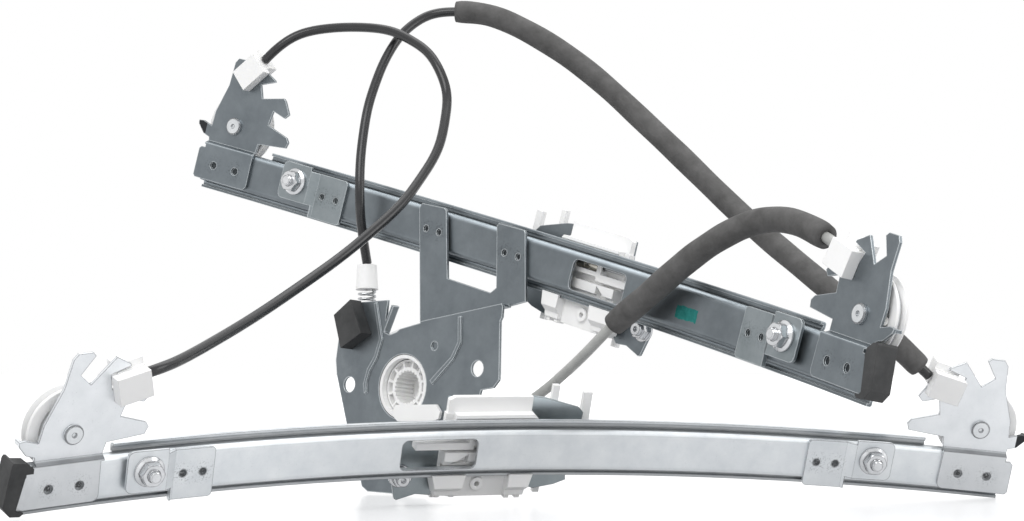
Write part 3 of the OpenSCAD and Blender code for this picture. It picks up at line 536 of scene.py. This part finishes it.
def steels():
    """Every metal look. Each takes its light, dark and stain colours and a range of roughness."""
    pale = ((0.76, 0.785, 0.80), (0.65, 0.68, 0.705), (0.50, 0.52, 0.54))
    plate = ((0.82, 0.84, 0.86), (0.73, 0.755, 0.775), (0.58, 0.60, 0.62))
    dull = ((0.200, 0.224, 0.240), (0.150, 0.170, 0.185), (0.26, 0.285, 0.30))
    tab = ((0.29, 0.32, 0.335), (0.22, 0.25, 0.262), (0.36, 0.39, 0.40))
    # Edge colours: darker for the pale sheets, a painted highlight for the dull ones
    dark_edge = (0.16, 0.17, 0.18)
    edge_highlight = (0.66, 0.70, 0.72)
    return {
        "front_rail": zinc("front_rail_zinc", *pale, edge=dark_edge, rail=FRONT,
                           light_profile=PALE_PAINTED_LIGHT, ends=(0.90, 1.06)),
        "front_sheet": zinc("front_sheet_zinc", *plate, edge=dark_edge, rail=FRONT,
                            light_profile=PALE_FOLD_PAINTED_SHADE, hook=(1, 246.5, 13.5), pit_shade=0.06),
        "front_mount": zinc("front_mount_zinc", *pale, edge=dark_edge, rail=FRONT,
                            pit_shade=0.1),
        "front_carriage": zinc("front_carriage_zinc", *tab, edge=dark_edge, rail=FRONT,
                               light_profile=CARRIAGE_SHADE),
        "rear_rail": zinc("rear_rail_zinc", *dull, edge=edge_highlight, rail=REAR,
                          light_profile=DULL_PAINTED_LIGHT, dab=(108.2, 7.6, -1.2, 3.0)),
        "rear_sheet": zinc("rear_sheet_zinc", *dull, edge=edge_highlight, rail=REAR,
                           light_profile=DULL_FOLD_PAINTED_LIGHT, hook=(-1, 239, 13.5)),
        "drive_plate": zinc("drive_plate_zinc", *dull, edge=edge_highlight, rail=REAR,
                            edge_wide=1.0),
        "rear_mount": zinc("rear_mount_zinc", *tab, edge=edge_highlight, rail=REAR),
        "dull": zinc("dull_zinc", *dull, edge=edge_highlight),
        "bright": zinc("bright_steel", (0.74, 0.75, 0.765), (0.50, 0.515, 0.53),
                       (0.34, 0.35, 0.36), 0.12, 0.26, metallic=1.0,
                       edge=(0.07, 0.07, 0.075)),
        "pin": zinc("pin_steel", (0.78, 0.80, 0.81), (0.60, 0.62, 0.64), (0.40, 0.41, 0.42),
                    0.24, 0.4, metallic=1.0, edge=(0.05, 0.05, 0.055)),
        "spring": zinc("spring_steel", (0.50, 0.51, 0.52), (0.34, 0.35, 0.36), (0.26, 0.26, 0.26),
                       0.18, 0.34, metallic=1.0, rounded=0),
        "wire": zinc("wire_steel", (0.50, 0.51, 0.52), (0.30, 0.31, 0.32), (0.22, 0.22, 0.22),
                     0.3, 0.45, metallic=1.0, rounded=0),
        "brass": zinc("plated_brass", (0.60, 0.575, 0.51), (0.46, 0.44, 0.39), (0.36, 0.34, 0.29),
                      0.25, 0.42, metallic=1.0),
    }


steel = steels()
natural = plastic("natural_plastic", (0.96, 0.96, 0.955), (0.92, 0.92, 0.915))
black_rubber = rubber("black_rubber", (0.050, 0.051, 0.052), (0.022, 0.023, 0.024))
black_sheath = rubber("black_sheath", (0.016, 0.0165, 0.018), (0.009, 0.0095, 0.011),
                      rough=0.26, fine=900, depth=0.05, coat=0.12)
grey_sheath = rubber("grey_sheath", (0.44, 0.445, 0.43), (0.36, 0.365, 0.355),
                     rough=0.38, fine=900, depth=0.05)
foam = rubber("foam", (0.120, 0.118, 0.117), (0.060, 0.059, 0.058),
              rough=0.74, fine=2600, depth=0.55)

MADE_OF = {
    "front_rail": steel["front_rail"], "rear_rail": steel["rear_rail"],
    "front_stop_bracket": steel["front_sheet"], "front_free_bracket": steel["front_sheet"],
    "front_mount_stop_side": steel["front_mount"], "front_mount_free_side": steel["front_mount"],
    "rear_stop_bracket": steel["rear_sheet"], "rear_free_bracket": steel["rear_sheet"],
    "rear_mount_stop_side": steel["rear_mount"], "rear_mount_free_side": steel["rear_mount"],
    "drive_plate": steel["drive_plate"],
    "front_glass_plate": steel["front_carriage"], "rear_glass_plate": steel["dull"],
    "front_studs": steel["bright"], "rear_studs": steel["bright"],
    "front_nuts": steel["bright"], "rear_nuts": steel["bright"],
    "front_carriage_nut": steel["bright"], "rear_carriage_nut": steel["bright"],
    "pulley_pins": steel["pin"], "tension_spring": steel["spring"],
    "front_wire": steel["wire"], "rear_wire": steel["wire"],
    "front_nipples": steel["brass"], "rear_nipples": steel["brass"],
    "front_end_stop": black_rubber, "rear_end_stop": black_rubber, "damper_block": black_rubber,
}


def dress(obj, material):
    """Gives the whole piece one material."""
    if not obj.material_slots:
        obj.data.materials.append(material)
    for slot in obj.material_slots:
        slot.material = material


for name, obj in nodes.items():
    dress(obj, MADE_OF.get(name, natural))
for obj, material in ((cable_a, black_sheath), (cable_b, black_sheath), (cable_c, grey_sheath),
                      (foam_sleeve_b, foam), (foam_sleeve_c, foam)):
    dress(obj, material)


# Floor, world and lamps. The floor's glow is seen by camera, glossy and transmission rays only.
FLOOR_HALF = 15
FLOOR_COLOUR = (0.42, 0.422, 0.43, 1)
FLOOR_GLOW = (0.35, 1.3)
FLOOR_GLOW_NEAR = 0.44
FLOOR_GLOW_FAR = 0.74
ROOM_FILL = 0.88


def floor():
    """A grey floor that glows to white away from the part and keeps its shadow."""
    mesh = bpy.data.meshes.new("floor")
    s = FLOOR_HALF
    mesh.from_pydata([(-s, -s, 0), (s, -s, 0), (s, s, 0), (-s, s, 0)], [], [(0, 1, 2, 3)])
    obj = add("floor", mesh)
    m = Mat("floor", roughness=0.22)
    m.bsdf.inputs["Base Color"].default_value = FLOOR_COLOUR
    m.bsdf.inputs["Specular IOR Level"].default_value = 0.12
    rays = m.node("ShaderNodeLightPath")
    seen = m.math("MAXIMUM", m.math("MAXIMUM", rays.outputs["Is Camera Ray"],
                                    rays.outputs["Is Glossy Ray"]),
                  rays.outputs["Is Transmission Ray"])
    far = m.node("ShaderNodeVectorMath", operation="LENGTH")
    m.link(m.coord.outputs["Object"], far.inputs[0])
    light = m.span(far.outputs["Value"], FLOOR_GLOW_NEAR, FLOOR_GLOW_FAR, *FLOOR_GLOW)
    glow = m.node("ShaderNodeEmission")
    m.link(m.math("MULTIPLY", seen, light), glow.inputs["Strength"])
    both = m.node("ShaderNodeAddShader")
    m.link(m.bsdf.outputs[0], both.inputs[0])
    m.link(glow.outputs[0], both.inputs[1])
    m.link(both.outputs[0], m.t.nodes["Material Output"].inputs[0])
    obj.data.materials.append(m.m)


def studio(fill):
    """An even white room, seen white by the camera and in reflections."""
    world = bpy.data.worlds.new("studio")
    world.use_nodes = True
    bpy.context.scene.world = world
    tree = world.node_tree
    back = tree.nodes["Background"]
    rays = tree.nodes.new("ShaderNodeLightPath")
    seen = tree.nodes.new("ShaderNodeMath")
    seen.operation = "MAXIMUM"
    tree.links.new(rays.outputs["Is Camera Ray"], seen.inputs[0])
    tree.links.new(rays.outputs["Is Glossy Ray"], seen.inputs[1])
    level = tree.nodes.new("ShaderNodeMath")
    level.operation = "MAXIMUM"
    tree.links.new(seen.outputs[0], level.inputs[0])
    level.inputs[1].default_value = fill
    back.inputs["Color"].default_value = (1, 1, 1, 1)
    tree.links.new(level.outputs[0], back.inputs["Strength"])


def lamp(name, at, target, size, power):
    """A soft lamp turned to its target."""
    data = bpy.data.lights.new(name, "AREA")
    data.shape = "RECTANGLE"
    data.size, data.size_y = size
    data.energy = power
    obj = add(name, data)
    obj.location = at
    obj.rotation_euler = (Vector(target) - Vector(at)).to_track_quat("-Z", "Y").to_euler()


floor()
studio(ROOM_FILL)
lamp("key", (-0.5, -1.1, 1.3), (0, 0, 0.1), (1.2, 0.9), 12)
lamp("side", (1.4, -0.5, 0.7), (0, 0, 0.1), (0.9, 0.9), 5)
lamp("top", (0.1, 0.4, 1.6), (0, 0, 0.1), (1.4, 1.0), 6)

bpy.context.scene.view_settings.view_transform = "Standard"
